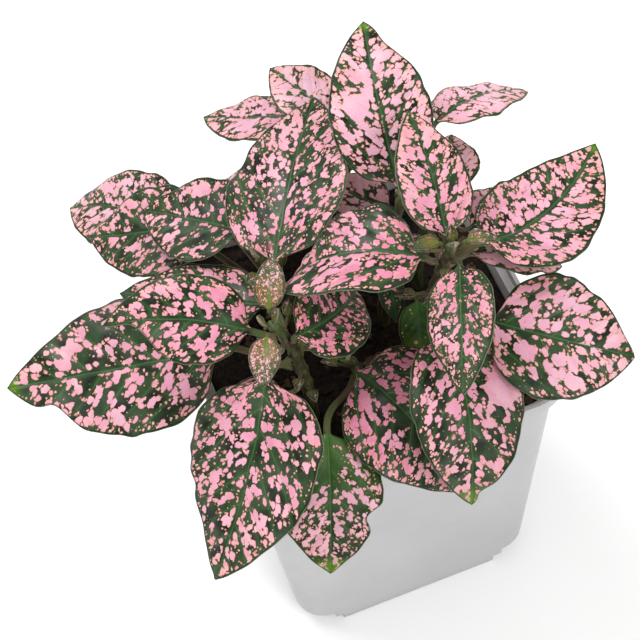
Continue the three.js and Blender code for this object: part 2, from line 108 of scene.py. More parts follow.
# The leaves of each shoot, with the frame's own numbers
LEAF_ROWS = {
    "front_left": (
        leaf_row(141, (-26, -18, 144), 65, (30, 0), 14, 8, 14, pink=0.35, rose=0.2, **YOUNG),
        leaf_row(141, (-29, -25, 144), -116, (0, -28), 13, 8, 12, pink=0.35, rose=0.3, splash=0.65,
            grain=0.3, young=1),
        leaf_row(134, (-31, -16, 135), 149, (20, -12), 37, 24, 10, pink=0.52, rose=0.6, roll=-14,
            turn=15, splash=2.0, nick=(1, 0.86, 0.2, 0.9)),
        leaf_row(134, (-22, -24, 138), 13, (-15, -38), 30, 21, 9, pink=0.48, rose=0.95, roll=30,
            turn=50, splash=1.7, deep=0.5),
        leaf_row(126, (-31.4, -26.4, 130), -122, (-32, -36), 52, 38, 5, pink=0.43, rose=0.37, roll=9,
            twist=17, turn=-19, splash=2.1, nick=(-1, 0.62, 0.05, 0.1)),
        leaf_row(126, (-24, -4, 125.5), 146, (-1, -12), 40, 22, 8, pink=0.45, rose=0.6),
        leaf_row(117, (-38.1, -7.2, 119), 155, (-21, -9), 61, 36.5, 3, pink=0.4, rose=0.32, roll=-26,
            turn=7, splash=2.5, bright=0.05, bare=((23, -8.5, 4.2), (17, -5.5, 4.2), (11, -1.5, 3.5)),
            nick=(1, 0.8, 0.07, 0.35)),
        leaf_row(110, (-26, -22, 111), 178, (0, -30), 24, 18, 8, pink=0.6, rose=0.7),
    ),
    "front_right": (
        leaf_row(149, (17, -22, 152), 168, (10, -15), 7, 5, 35, pink=0.06, rose=0.1, **YOUNG),
        leaf_row(149, (23, -24, 152), -20, (10, -15), 8, 5, 35, pink=0.24, rose=0.1, **YOUNG),
        leaf_row(146, (20, -19, 149), 78, (34, 14), 33, 20, 7, pink=0.68, rose=0.42, **EVEN, roll=19,
            turn=13, bright=0.03),
        leaf_row(146, (20, -27, 148), -112, (-7, -36), 32, 18, 9, pink=0.53, rose=0.5, roll=19, twist=9,
            splash=1.2, grain=0.7),
        leaf_row(142, (13, -21, 147), 159, (30, -80), 44, 31, 12, pink=0.52, rose=0.58, roll=5,
            twist=15, turn=-13, splash=2.2, spine=0.5),
        leaf_row(142, (28, -22, 146), 11, (-30, 16), 47, 28, 5, pink=0.57, rose=0.35, **EVEN, roll=5,
            twist=5, turn=31, bright=0.05),
        leaf_row(128, (25, -33.2, 129), -41, (-3, -36), 39, 32, 10, pink=0.6, rose=0.2, roll=23,
            turn=27, splash=2.5),
        leaf_row(123, (14, -30, 127), -90, (0, -70), 47, 30, 10, pink=0.4, rose=0.4, roll=-17, turn=-30,
            splash=2.0, deep=0.3, bright=0.09, patch=(17.5, 9.5, 4.5), nick=(1, 0.93, 0.05, 0.5)),
        leaf_row(136, (27, -17.2, 135.7), -8, (-11, -40), 26, 20, 10, pink=0.85, rose=0.1, roll=-20,
            turn=-14),
        leaf_row(119, (12, -17, 124), -105, (-50, -75), 19, 11, 10, pink=0.03, rose=0.3, bright=0.4,
            fresh=0.5, haze=0.2),
    ),
    "front_low": (
        leaf_row(112, (-8, -25, 114), -68, (22, -77), 44.5, 33, 12, pink=0.47, rose=0.6, roll=20,
            splash=2.0, deep=0.5,
            bare=((12, 0, 2.8), (18, -0.5, 3.4), (24, -2.5, 3.4), (30, -3.5, 2.5))),
        leaf_row(105, (-21, -37, 112), -108, (-29, -64), 38, 27, 8, pink=0.5, rose=0.15, roll=-14,
            turn=-13, splash=1.6, bright=0.1, fresh=0.6, haze=0.1, bare=((3, 1, 4.5), (9, -1.5, 4.5)),
            nick=(1, 0.6, 0.06, 0.22)),
    ),
    "middle": (
        leaf_row(144, (16, 2, 146), 85, (43, 10), 44, 26, 6, pink=0.62, rose=0.15, **EVEN, turn=-10,
            spine=1.0, bright=0.06, patch=(22.2, 5.5, 2.8), nick=(-1, 0.86, 0.1, 0.22)),
        leaf_row(135, (14, 4, 136), 140, (5, -13), 22, 15, 6, pink=0.8, rose=0.1, turn=-40),
        leaf_row(124, (8, -7, 127), -98, (-40, -72), 15, 7, 12, pink=0.3, rose=0.6),
    ),
    "back": (
        leaf_row(133, (3.8, 41.8, 136), 145, (-14, -24), 31, 20, 6, pink=0.7, rose=0.2, **EVEN, roll=9,
            turn=-11),
        leaf_row(136, (10.4, 36.1, 139), 114, (13, -5), 23, 17, 9, pink=0.84, rose=0, **EVEN, roll=-6),
        leaf_row(122, (8, 34, 123), 78, (5, -60), 40, 27, 8, pink=0.6, rose=0.4),
        leaf_row(124, (-6, 30, 124), 128, (-5, -55), 28, 25, 8, pink=0.6, rose=0.4, roll=5),
    ),
    "left": (
        leaf_row(132, (-19, -1, 137), 60, (19, -1), 49, 35, 11, pink=0.45, rose=0.38, roll=-21, turn=-7,
            splash=1.8, deep=0.2),
        leaf_row(128, (-22.3, 14.8, 133), 120, (-25, -19), 38, 26, 12, pink=0.37, rose=0.4, roll=-14,
            turn=12, splash=2.2, deep=0.4),
        leaf_row(119, (-29.2, 30, 120), 154, (-10, -29), 37, 27, 8, pink=0.47, rose=0.4, roll=-16,
            turn=-14),
        leaf_row(110, (-36.9, 42.6, 109), 123, (-2, -39), 40, 27, 7, pink=0.64, rose=0.1, **EVEN,
            roll=-6, turn=14, bright=0.04),
    ),
    "right": (
        leaf_row(141, (31.9, 15.6, 148), 28, (0, -40), 33, 19, 2, pink=0.73, rose=0.05, **EVEN,
            roll=-13, twist=-10, turn=-27, hem=0.6),
        leaf_row(135, (30, 4, 134.5), 65, (10, -20), 20, 16, 8, pink=0.8, rose=0.0, **EVEN),
        leaf_row(131, (31, -8.6, 134), 20, (5, -25), 19, 16, 8, pink=0.56, rose=0.3),
    ),
}
LEAVES = {
    f"{stem}_leaf_{number}": {"stem": stem, **row}
    for stem, rows in LEAF_ROWS.items() for number, row in enumerate(rows, 1)
}

# Unopened leaves: a pair at a shoot's tip is turned by heading, stands apart and rises by slopes. One at
# a joint starts out from the stem and above the joint, and rises by side_slopes. Each stalk leaves the
# stem below its blade.
BUD = dict(
    PLAIN_LEAF, **YOUNG, pink=0.3, rose=0.1, heading=75, slopes=(58, 82), side_slopes=(40, 5), length=5,
    width=3.2, fold=25, apart=0.9, out=4.5, above=2.5, below=1.0)

# Lateral veins: how steeply they leave the rib, how they arch towards the tip, how many there are, and
# how far those on the left run ahead, as a share of their spacing
VEINS = {"lean": 0.75, "arch": 0.6, "per_length": 6.5, "left_lead": 0.4}

# Scores of the places on a blade: the middle one, how widely they differ, and what the veins, the rib
# and the margin take from them, so that they stay green. The places with the highest ones are pink.
SCORES = {"middle": -0.193, "deviation": 0.268, "vein": 0.12, "rib": 0.35, "margin": 0.45}

# The pot's corners, as the signs of their places
CORNERS = [(sx, sy) for sx in (-1, 1) for sy in (-1, 1)]


# Selection and mesh helpers

def deselect():
    bpy.ops.object.select_all(action="DESELECT")


def only(piece):
    deselect()
    piece.select_set(True)
    bpy.context.view_layer.objects.active = piece


def edit(piece):
    only(piece)
    bpy.ops.object.mode_set(mode="EDIT")


def done():
    """Leaves edit mode."""
    bpy.ops.object.mode_set(mode="OBJECT")


def select_faces(piece, test):
    """Selects, from edit mode, the faces whose centre and normal pass a test."""
    bpy.ops.mesh.select_mode(type="FACE")
    bpy.ops.mesh.select_all(action="DESELECT")
    done()
    for face in piece.data.polygons:
        face.select = test(face.center, face.normal)
    bpy.ops.object.mode_set(mode="EDIT")


def add(operator, name=None, **settings):
    """Adds a mesh by one of Blender's operators."""
    deselect()
    operator(**settings)
    piece = bpy.context.object
    if name:
        piece.name = piece.data.name = name
    return piece


def put(name, data):
    """Puts new data into the scene as an object."""
    made = bpy.data.objects.new(name, data)
    bpy.context.scene.collection.objects.link(made)
    return made


def settle(piece):
    """Moves an object's place and turn into its mesh."""
    only(piece)
    bpy.ops.object.transform_apply(location=True, rotation=True, scale=True)


def apply_modifier(piece, kind, **settings):
    only(piece)
    modifier = piece.modifiers.new(kind.lower(), kind)
    for key, value in settings.items():
        setattr(modifier, key, value)
    bpy.ops.object.modifier_apply(modifier=modifier.name)


def cut(piece, tool):
    apply_modifier(piece, "BOOLEAN", object=tool, operation="DIFFERENCE", solver="EXACT")
    bpy.data.objects.remove(tool)


def mount(piece, slot, finish, *nodes):
    """Rides a finished piece on the part, with its finish, in place of the nodes that it stands for."""
    piece.data.materials.clear()
    piece.data.materials.append(finish)
    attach(piece, "root")
    if nodes:
        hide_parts(*nodes)


def mark(piece, name, values):
    """Stores one value or vector at each vertex."""
    kind, field = ("FLOAT_VECTOR", "vector") if values.shape[-1] == 3 else ("FLOAT", "value")
    attribute = piece.data.attributes.new(name, kind, "POINT")
    attribute.data.foreach_set(field, values.astype(np.float32).ravel())


def unit(vectors):
    """Rows of directions, each at length one."""
    return vectors / np.linalg.norm(vectors, axis=-1, keepdims=True)


def points_at(at, knots, points):
    """Points between those of a line, at places counted as its knots are."""
    return np.stack([np.interp(at, knots, column) for column in points.T], axis=-1)


def evenly(points, count, endpoint=True):
    """A line again, with evenly spaced points, and its length."""
    steps = np.linalg.norm(np.diff(points, axis=0), axis=1)
    reach = np.concatenate([[0], np.cumsum(steps)])
    return points_at(np.linspace(0, reach[-1], count, endpoint), reach, points), reach[-1]


def smooth(value, start, end):
    """Rises smoothly from 0 at start to 1 at end."""
    share = np.clip((value - start) / (end - start), 0, 1)
    return share * share * (3 - 2 * share)


def skin(name, rings, marks=None):
    """One closed skin over rows of rings, in millimetres: a grid is wrapped over them, its seam is
    welded and its ends are filled. Rings run counter-clockwise seen from the end they lead to."""
    rings = np.asarray(rings, float) * MM
    rows, around = rings.shape[:2]
    piece = add(
        bpy.ops.mesh.primitive_grid_add, name, x_subdivisions=around, y_subdivisions=rows - 1, size=2)
    flat = np.zeros(len(piece.data.vertices) * 3)
    piece.data.vertices.foreach_get("co", flat)
    flat = flat.reshape(-1, 3)
    column = np.rint((flat[:, 0] + 1) / 2 * around).astype(int) % around
    row = np.rint((flat[:, 1] + 1) / 2 * (rows - 1)).astype(int)
    piece.data.vertices.foreach_set("co", rings[row, column].ravel())
    for key, values in (marks or {}).items():
        mark(piece, key, values[row, column])
    edit(piece)
    bpy.ops.mesh.select_all(action="SELECT")
    bpy.ops.mesh.remove_doubles(threshold=1e-7)
    bpy.ops.mesh.select_mode(type="EDGE")
    bpy.ops.mesh.select_all(action="DESELECT")
    bpy.ops.mesh.select_non_manifold(
        extend=False, use_wire=False, use_boundary=True, use_multi_face=False,
        use_non_contiguous=False, use_verts=False)
    bpy.ops.mesh.fill_holes(sides=0)
    done()
    bpy.ops.object.shade_smooth()
    return piece


# Shader maths

def paint(red, green, blue):
    """A colour given as it looks on screen, 0 to 255, as the shader's linear light."""
    shares = [value / 255 for value in (red, green, blue)]
    return (*[s / 12.92 if s <= 0.04045 else ((s + 0.055) / 1.055) ** 2.4 for s in shares], 1.0)


def dimmed(colour, share):
    """A colour with a share of its light."""
    return (*[value * share for value in colour[:3]], 1.0)


def between(first, second, share):
    """A colour a share of the way from the first to the second."""
    return tuple(a + (b - a) * share for a, b in zip(first, second))


def maths_method(operation, swapped=False):
    """A method that puts one maths node between a wire and another wire or number."""
    def method(self, other=0.0):
        return self.finish.maths(operation, *((other, self) if swapped else (self, other)))
    return method


class Wire:
    """A number that changes over a surface, so that shader maths reads as plain expressions."""

    def __init__(self, finish, socket):
        self.finish = finish
        self.socket = socket

    __add__ = __radd__ = maths_method("ADD")
    __sub__ = maths_method("SUBTRACT")
    __rsub__ = maths_method("SUBTRACT", swapped=True)
    __mul__ = __rmul__ = maths_method("MULTIPLY")
    __truediv__ = maths_method("DIVIDE")
    __pow__ = maths_method("POWER")
    __abs__ = maths_method("ABSOLUTE")
    at_least = maths_method("MAXIMUM")
    at_most = maths_method("MINIMUM")
    above = maths_method("GREATER_THAN")

    def to_nearest_whole(self):
        """How far it is from the nearest whole number."""
        return self.finish.maths("PINGPONG", self, 0.5)

    def ramp(self, start, end):
        """Rises smoothly from 0 at start to 1 at end; start may be the larger."""
        low, high = (0.0, 1.0) if start < end else (1.0, 0.0)
        inputs = {0: self, 1: min(start, end), 2: max(start, end), 3: low, 4: high}
        return self.finish.wire(
            "ShaderNodeMapRange", inputs, interpolation_type="SMOOTHSTEP", clamp=True)


class Finish:
    """A procedural material around one Principled shader."""

    def __init__(self, name, **constants):
        self.material = bpy.data.materials.new(name)
        self.material.use_nodes = True
        self.tree = self.material.node_tree
        self.tree.nodes.clear()
        self.shader = self.node("ShaderNodeBsdfPrincipled")
        output = self.node("ShaderNodeOutputMaterial")
        self.tree.links.new(self.shader.outputs[0], output.inputs[0])
        for key, value in constants.items():
            self.shader.inputs[key.replace("_", " ").title().replace("Ior", "IOR")].default_value = value

    def node(self, kind, inputs=None, **settings):
        """Adds a node. Its inputs are wires or plain values, by their places or names."""
        made = self.tree.nodes.new(kind)
        for key, value in settings.items():
            setattr(made, key, value)
        for key, value in (inputs or {}).items():
            if isinstance(value, Wire):
                self.tree.links.new(value.socket, made.inputs[key])
            else:
                made.inputs[key].default_value = value
        return made

    def wire(self, kind, inputs=None, output=0, **settings):
        """Adds a node and gives one of its outputs."""
        return Wire(self, self.node(kind, inputs, **settings).outputs[output])

    def maths(self, operation, first, second=0.0):
        return self.wire("ShaderNodeMath", {0: first, 1: second}, operation=operation)

    def vector_maths(self, operation, first, second):
        return self.wire("ShaderNodeVectorMath", {0: first, 1: second}, operation=operation)

    def scaled(self, vector, scale):
        return self.wire("ShaderNodeVectorMath", {0: vector, 3: scale}, operation="SCALE")

    def mix(self, factor, low, high):
        """Colours mixed by a factor: low at 0 and high at 1."""
        inputs = {0: factor, 6: low, 7: high}
        return self.wire("ShaderNodeMix", inputs, 2, data_type="RGBA", clamp_factor=True)

    def mark(self, name, output="Vector"):
        """What the mesh stores at its vertices under a name."""
        return self.wire("ShaderNodeAttribute", None, output, attribute_name=name)

    def place(self):
        return self.wire("ShaderNodeTexCoord", None, "Object")

    def split(self, vector):
        made = self.node("ShaderNodeSeparateXYZ", {0: vector})
        return [Wire(self, socket) for socket in made.outputs]

    def join(self, x, y, z):
        return self.wire("ShaderNodeCombineXYZ", {0: x, 1: y, 2: z})

    def noise(self, vector, size, detail=2.0, rough=0.5, output="Fac"):
        """Cloudy noise whose clouds are about size across, in the units of the vector."""
        inputs = {"Vector": vector, "Scale": 1 / size, "Detail": detail, "Roughness": rough}
        return self.wire("ShaderNodeTexNoise", inputs, output)

    def cells(self, vector, size, dimensions="2D"):
        """Cells about size across: how far off each one's middle is, in cells, and its own colour."""
        inputs = {"Vector": vector, "Scale": 1 / size, "Randomness": 1.0}
        made = self.node("ShaderNodeTexVoronoi", inputs, voronoi_dimensions=dimensions)
        return [Wire(self, made.outputs[output]) for output in ("Distance", "Color")]

    def bump(self, height, distance, strength=1.0):
        """Height counts in units of distance, which is in metres."""
        inputs = {"Strength": strength, "Distance": distance, "Height": height}
        self.feed(Normal=self.wire("ShaderNodeBump", inputs))

    def feed(self, **wires):
        """Leads wires into the shader's own inputs."""
        for key, wire in wires.items():
            self.tree.links.new(wire.socket, self.shader.inputs[key.replace("_", " ")])


# Finishes

def pot_finish(sizes):
    """Satin plastic, slightly cloudy and scuffed."""
    finish = Finish("pot_plastic_finish", roughness=0.4, specular_ior_level=0.45)
    place = finish.place()
    cloud = finish.noise(place, 0.03, detail=3.0)
    scuff = finish.noise(place, 0.0012)
    colour = finish.mix(cloud.ramp(0.35, 0.7), tuple(sizes.colour), dimmed(sizes.colour, 0.93))
    finish.feed(Base_Color=colour)
    finish.feed(Roughness=0.36 + 0.16 * finish.noise(place, 0.004, detail=4.0))
    finish.bump(scuff * 0.5 + cloud, 0.00006)
    return finish.material


def soil_finish():
    """Dark compost with a few pale specks."""
    finish = Finish("soil_finish", roughness=0.95, specular_ior_level=0.2)
    place = finish.place()
    lump = finish.noise(place, 0.0016, detail=5.0, rough=0.65)
    brown = finish.mix(lump.ramp(0.35, 0.75), paint(14, 11, 10), paint(47, 36, 28))
    _, speck = finish.cells(place, 0.0023, dimensions="3D")
    rare = finish.split(speck)[0].above(0.94)
    finish.feed(Base_Color=finish.mix(rare * 0.6, brown, paint(104, 82, 60)))
    finish.feed(Roughness=0.75 + 0.25 * lump)
    finish.bump(lump, 0.0008)
    return finish.material


def stem_finish():
    """Green streaked skin, brown in clouds and at the joints, and fresh near the tip."""
    finish = Finish("stem_finish", specular_ior_level=0.4)
    place = finish.place()
    along = finish.vector_maths("MULTIPLY", place, (1.0, 1.0, 0.12))
    streak = finish.noise(along, 0.0006, detail=3.0)
    cloud = finish.noise(place, 0.006)
    green = finish.mix(streak.ramp(0.35, 0.7), paint(40, 48, 23), paint(76, 85, 45))
    brown = finish.mix(streak.ramp(0.3, 0.7), paint(44, 32, 24), paint(82, 62, 46))
    joint = finish.mark("joint", "Fac")
    colour = finish.mix((cloud.ramp(0.42, 0.62) * 0.7 + joint * 0.5).at_most(1.0), green, brown)
    young = finish.mark("young", "Fac")
    finish.feed(Base_Color=finish.mix(young, colour, paint(63, 77, 33)))
    finish.feed(Roughness=0.42 + 0.2 * streak)
    finish.bump(streak, 0.0002)
    return finish.material


def lateral_row(x, away, length):
    """Counts along the blade, the same all along one lateral vein, in millimetres."""
    return x - away * VEINS["lean"] - away * away / (VEINS["arch"] * length)


def with_spots(finish, leaf, score, bed, cloud):
    """Puts a leaf's pink spot into its score, and takes its plain green spots out."""
    x, y, _ = finish.split(bed)

    def within(spot):
        """How far a place lies inside a ragged round spot, in millimetres."""
        off_x, off_y = x - spot[0], y - spot[1]
        return spot[2] + cloud * 4.0 - (off_x * off_x + off_y * off_y) ** 0.5

    if leaf["patch"]:
        score = score.at_least(within(leaf["patch"]) * 0.5)
    for spot in leaf["bare"]:
        score = score - within(spot).ramp(0.0, 1.5) * 0.3
    return score


def leaf_finish(name, leaf, order, looks):
    """Pink splashes over green. Soft discs, large and small, give each place on the blade a score, and
    the places with the highest ones are pink. The blade's marks give the place in millimetres."""
    finish = Finish(
        name + "_finish", specular_ior_level=0.13, sheen_weight=0.05, sheen_roughness=0.4,
        coat_roughness=0.42)
    length, seed = leaf["length"], order + 1.0
    x, y, under = finish.split(finish.mark("blade"))
    margin = finish.mark("margin", "Fac")
    flat = finish.join(x, y, 0.0)
    left = y.above(0.0)
    layer = left * 31.0 + 7.7 * seed
    away = abs(y)
    row = lateral_row(x, away, length)
    spacing = length / VEINS["per_length"]
    to_lateral = (row / spacing + left * VEINS["left_lead"]).to_nearest_whole() * (spacing * 0.8)
    run = (x / length).at_least(0.001).at_most(0.999)
    widest = leaf["width"] / 2 / outline_peak()
    to_margin = (run ** BLADE["shoulder"]) * ((1 - run) ** BLADE["taper"]) * widest - away

    # The discs lie in a bed that leans with the lateral veins and is waved by a fine noise
    splash, grain = leaf["splash"] * looks.splash_scale, leaf["grain"]
    wobble = finish.noise(finish.join(x, y, layer), grain, output="Color")
    wobble = finish.scaled(finish.vector_maths("SUBTRACT", wobble, (0.5, 0.5, 0.5)), grain * 1.1)
    leaning = x + (row - x) * leaf["lean"]
    bed = finish.join(leaning + layer, y * leaf["streak"] + layer, 0.0)
    bed = finish.vector_maths("ADD", bed, wobble)
    large_far, large_tone = finish.cells(bed, splash)
    small_far, small_tone = finish.cells(bed, splash * 0.48)
    large_tone = finish.split(large_tone)[0]
    small_tone, small_shade, _ = finish.split(small_tone)
    cloud = finish.noise(finish.join(leaning, y, layer), splash * 1.5, detail=1.0) - 0.5
    region = finish.noise(finish.join(row * 0.7, y * 0.7, layer + 3.0), 8.0, detail=1.0) - 0.5
    thick = (cloud * 1.5 + region * 0.5) * leaf["patchiness"]
    fringe = to_margin.ramp(3.5, 1.0).at_least(run.ramp(0.25, 0.05))
    large = thick + large_tone * 0.45 - large_far.at_least(0.2) - fringe * 0.14
    small = thick * 0.75 + small_tone * 0.5 - small_far.at_least(0.2) - 0.24 + fringe * 0.1
    score = large.at_least(small)
    if not leaf["young"]:
        score = score - to_lateral.ramp(0.6, 0.1) * SCORES["vein"]
        score = score - (away - (1 - run) * 0.5).ramp(leaf["spine"], 0.1) * SCORES["rib"]
        score = score - to_margin.ramp(leaf["hem"], leaf["hem"] * 0.3) * SCORES["margin"]
    if leaf["patch"] or leaf["bare"]:
        score = with_spots(finish, leaf, score, finish.vector_maths("ADD", flat, wobble), cloud)
    middle = SCORES["middle"] + SCORES["deviation"] * NormalDist().inv_cdf(1 - leaf["pink"])
    pink = score.ramp(middle - 0.02, middle + 0.06)
    heart = score.ramp(middle + 0.02, middle + 0.22)
    rim = score.ramp(middle + 0.11, middle + 0.04)
    lesser = (small - large).ramp(-0.02, 0.04)

    # Loose dots between the splashes, more of them along the margin and by the stalk
    dot_far, dot_tone = finish.cells(finish.join(x + layer, y, 0.0), 1.5)
    dot_tone, dot_chance, _ = finish.split(dot_tone)
    crowd = (to_margin.ramp(6.0, 1.0) * 0.45).at_least(run.ramp(0.3, 0.0) * 0.45)
    dot = (dot_tone * 0.12 + 0.05 - dot_far).ramp(0.0, 0.02) * (dot_chance + crowd * 0.7).above(0.8)
    dot = dot * away.ramp(0.6, 1.0)

    # Splashes get a painted shade of deeper pink near the stalk, and are salmon where they are small,
    # outer or thin
    broad = finish.noise(finish.join(x, y, 3.1 * seed), 7.0, detail=3.0)
    mottle = broad.ramp(0.35, 0.65)
    pale, deep, rose = looks.pale_pink, looks.deep_pink, leaf["rose"]
    pink_colour = finish.mix(
        mottle, between(pale, deep, rose * 0.8), between(pale, deep, min(1.0, rose + 0.25)))
    # painted shade: the splashes darken to deep pink towards the stalk, where the blade lies in shade
    inner = run.ramp(0.5, 0.05) * (0.7 * min(1.0, 0.3 + rose))
    pink_colour = finish.mix(inner, pink_colour, tuple(deep))
    salmon = finish.mix(small_shade, paint(208, 138, 136), paint(216, 172, 158))
    aged = lesser * 0.45 + run.ramp(0.4, 1.0) * 0.3 + to_margin.ramp(5.0, 1.0) * 0.2
    aged = (aged + (1 - heart) * 0.25).at_most(0.35 if leaf["young"] else 0.85)
    pink_colour = finish.mix(aged, pink_colour, salmon)
    pink_colour = finish.mix(rim * 0.6, pink_colour, paint(178, 96, 84))

    # The green is lighter beside the veins
    shade = 1 - 0.55 * leaf["deep"]
    green_colour = finish.mix(mottle, dimmed(looks.dark_green, shade), dimmed(looks.mid_green, shade))
    beside_vein = (to_lateral.ramp(1.3, 0.2) * 0.4).at_least(away.ramp(1.5, 0.4) * 0.3)
    green_colour = finish.mix(beside_vein, green_colour, paint(46, 82, 36))
    if leaf["fresh"]:
        green_colour = finish.mix(run.ramp(0.65, 0.0) * leaf["fresh"], green_colour, paint(66, 104, 36))
    dot_colour = finish.mix(dot_tone, paint(196, 176, 128), paint(206, 134, 128))
    colour = finish.mix(pink, finish.mix(dot, green_colour, dot_colour), pink_colour)

    # Veins are thin paler lines
    lateral_line = to_lateral.ramp(0.16, 0.05) * margin.ramp(1.0, 5.0) * broad.ramp(0.3, 0.55)
    rib_line = (away - (1 - run) * 0.14).ramp(0.16, 0.06)
    line = (rib_line * 0.45).at_least(lateral_line * (0.75 - pink * 0.6))
    colour = finish.mix(line, colour, tuple(looks.vein_green))

    # New leaves are ochre, tips yellow-green, and the edge is a thin pale line, a painted highlight
    # where light catches the rim, with a dark one inside
    if leaf["young"]:
        brown = finish.mix(small_tone.ramp(0.3, 0.7), paint(84, 82, 38), paint(138, 98, 58))
        ochre = finish.mix(run.ramp(0.3, 0.75), brown, paint(70, 84, 50))
        colour = finish.mix((1 - pink) * 0.8, colour, ochre)
        colour = finish.mix(away.ramp(0.9, 0.2) * run.ramp(0.7, 0.1), colour, paint(84, 104, 34))
    if leaf["bright"]:
        lime = run.ramp(1 - 1.6 * leaf["bright"], 1 - 0.4 * leaf["bright"]) * (1 - pink * 0.5)
        colour = finish.mix(lime * 0.85, colour, paint(84, 122, 22))
    colour = finish.mix(margin.ramp(0.8, 0.45) * 0.7, colour, paint(20, 30, 15))
    # painted highlight: a thin pale line along the very edge of the blade
    colour = finish.mix(margin.ramp(0.22, 0.14) * 0.6, colour, paint(108, 118, 86))
    underside = finish.mix(pink, paint(120, 130, 96), paint(206, 158, 150))
    colour = finish.mix(under * 0.72, colour, underside)
    stalk_colour = finish.mix(mottle, paint(68, 80, 42), paint(90, 72, 52))
    colour = finish.mix(x.ramp(0.6, -1.2), colour, stalk_colour)
    finish.feed(Base_Color=colour)

    # Small cushions between the veins, under a patchy soft shine
    grit = finish.noise(flat, 0.28)
    cushion, _ = finish.cells(flat, 0.5)
    haze = finish.noise(finish.join(x, y, 5.3 * seed), 12.0, detail=1.0)
    finish.feed(Roughness=0.4 + pink * 0.1 + grit * 0.1)
    finish.feed(Coat_Weight=haze.ramp(0.42, 0.7) * leaf["haze"])
    finish.bump(grit * 0.03 - cushion * 0.07 - to_lateral.ramp(0.35, 0.0) * 0.05, MM, strength=0.8)
    return finish.material


# Leaves

def outline_peak():
    widest = BLADE["shoulder"] / (BLADE["shoulder"] + BLADE["taper"])
    return widest ** BLADE["shoulder"] * (1 - widest) ** BLADE["taper"]


def outline(run):
    """How wide a blade is at shares of its length, as a share of its widest."""
    return run ** BLADE["shoulder"] * (1 - run) ** BLADE["taper"] / outline_peak()


def directions(leaf, run):
    """Where the middle line of a blade points at shares of its length, and its heading there."""
    slope = np.radians(leaf["slopes"][0] + (leaf["slopes"][1] - leaf["slopes"][0]) * run)
    heading = np.radians(leaf["heading"] + leaf["turn"] * run)
    level = np.cos(slope)
    return np.stack([level * np.cos(heading), level * np.sin(heading), np.sin(slope)], -1), heading


def blade_frames(leaf, run):
    """The blade's middle line at shares of its length, with its side and face directions."""
    steps = 400
    middles = (np.arange(steps) + 0.5) / steps
    pieces = directions(leaf, middles)[0] * leaf["length"] / steps
    line = np.vstack([np.zeros(3), np.cumsum(pieces, axis=0)]) + leaf["start"]
    point = points_at(run, np.linspace(0, 1, steps + 1), line)
    along, heading = directions(leaf, run)
    level = np.stack([-np.sin(heading), np.cos(heading), np.zeros_like(heading)], axis=-1)
    roll = np.radians(leaf["roll"] + leaf["twist"] * run)[:, None]
    side = level * np.cos(roll) + np.cross(along, level) * np.sin(roll)
    return point, along, side, np.cross(along, side)


def stem_path(stem):
    """Evenly spaced points up the middle of a stem, and its length."""
    heights = (SOIL["top"] - SOIL["hole_depth"], SOIL["top"] + STEM["above_soil"], stem["bend"])
    low, face, bend = (np.array([*stem["foot"], height], float) for height in heights)
    t = np.linspace(0, 1, 200)[:, None]
    curved = (1 - t) ** 2 * face + 2 * t * (1 - t) * bend + t ** 2 * np.array(stem["tip"])
    straight = low + (face - low) * np.linspace(0, 1, 60)[:-1, None]
    return evenly(np.vstack([straight, curved]), 400)


def stem_radius(share):
    return STEM["foot_radius"] + (STEM["tip_radius"] - STEM["foot_radius"]) * share


def stem_at(stem, height):
    """The place on a stem at a height: its share of the way up, its point and its direction."""
    points, _ = stem_path(stem)
    k = int(np.argmin(np.abs(points[:, 2] - height)))
    k = min(max(k, 1), len(points) - 2)
    return k / (len(points) - 1), points[k], unit(points[k + 1] - points[k - 1])


def stalk_points(leaf, point, along, count):
    """The stalk's middle line from its stem to its blade, with its directions."""
    share, joint, up = stem_at(STEMS[leaf["stem"]], leaf["joint"])
    out = point - joint
    out = unit(out - up * out.dot(up))
    start = joint + out * (stem_radius(share) + STEM["joint_swell"] + GAP)
    reach = np.linalg.norm(point - start)
    first = start + out * reach * STALK["bow"]
    second = point - along * reach * STALK["bow"]
    t = np.linspace(0, 1, count, endpoint=False)[:, None]
    line = ((1 - t) ** 3 * start + 3 * t * (1 - t) ** 2 * first + 3 * t ** 2 * (1 - t) * second
            + t ** 3 * point)
    ahead = (3 * (1 - t) ** 2 * (first - start) + 6 * t * (1 - t) * (second - first)
             + 3 * t ** 2 * (point - second))
    return line, unit(ahead), reach


def off_line(line, side, face, across, above):
    """Rows of points off a middle line, from how far across and above it they lie."""
    return line[:, None] + side[:, None] * across[..., None] + face[:, None] * above[..., None]


def around_with(over, beneath):
    """Rings that run over a blade and back beneath it."""
    return np.concatenate([over, beneath[:, ::-1]], axis=1)


